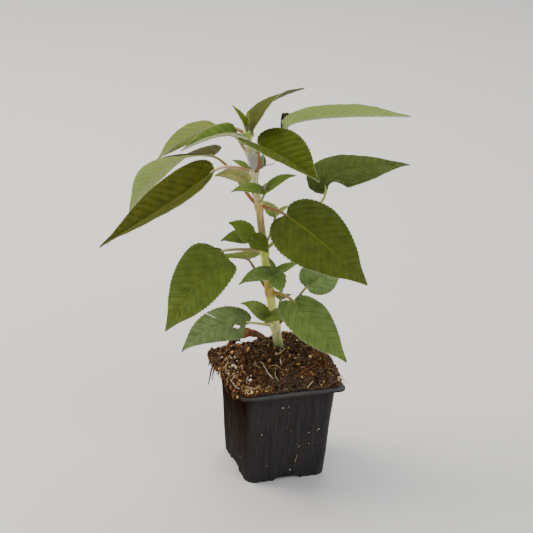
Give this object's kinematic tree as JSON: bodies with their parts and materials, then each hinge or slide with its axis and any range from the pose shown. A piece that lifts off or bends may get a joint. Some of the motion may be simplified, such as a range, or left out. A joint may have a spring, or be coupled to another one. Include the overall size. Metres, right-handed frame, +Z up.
{
  "type": "potted sage plant",
  "caption": "Young leafy sage plant in a small square fluted nursery pot, with a leaning stem, toothed leaves and a mound of compost.",
  "frame": {"origin": "middle of the pot's underside, on the surface that the pot stands on", "axes": "+Z up along the plant, which leans to -X; the pot's four walls face +X, -X, +Y and -Y, and the pictured front is -Y"},
  "size_m": [0.2328, 0.1446, 0.2853],
  "materials": {
    "pot_plastic": "moulded black nursery-pot plastic with a satin rim",
    "compost": "loose damp peat and bark compost with fibres, fine roots and perlite",
    "stem": "pale green square stem with fine white hairs and tan nodes",
    "leaf": "dark green veined leaf with a soft down, paler underneath",
    "young_leaf": "young light green veined leaf with a soft down",
    "bark": "brown curled scrap of bark"
  },
  "bodies": {
    "root": {"pot": "pot_plastic", "compost": "compost", "stem": "stem", "leaf_0_left": "leaf", "leaf_0_right": "leaf", "leaf_1_right": "leaf", "leaf_1_left": "leaf", "leaf_2_left": "leaf", "leaf_2_right": "leaf", "leaf_3_right": "leaf", "leaf_3_left": "leaf", "leaf_4_left": "leaf", "leaf_4_right": "leaf", "leaf_5_left": "young_leaf", "leaf_5_right": "young_leaf", "leaf_6_left": "young_leaf", "leaf_6_right": "young_leaf", "shoot_0_front": "young_leaf", "shoot_0_back": "young_leaf", "shoot_1_front": "young_leaf", "shoot_2_front": "young_leaf", "shoot_2_back": "young_leaf", "shoot_3_front": "young_leaf", "shoot_3_back": "young_leaf", "shoot_4_left": "young_leaf", "shoot_4_right": "young_leaf", "growing_tip": "young_leaf", "bark_scrap": "bark"}
  },
  "joints": []
}
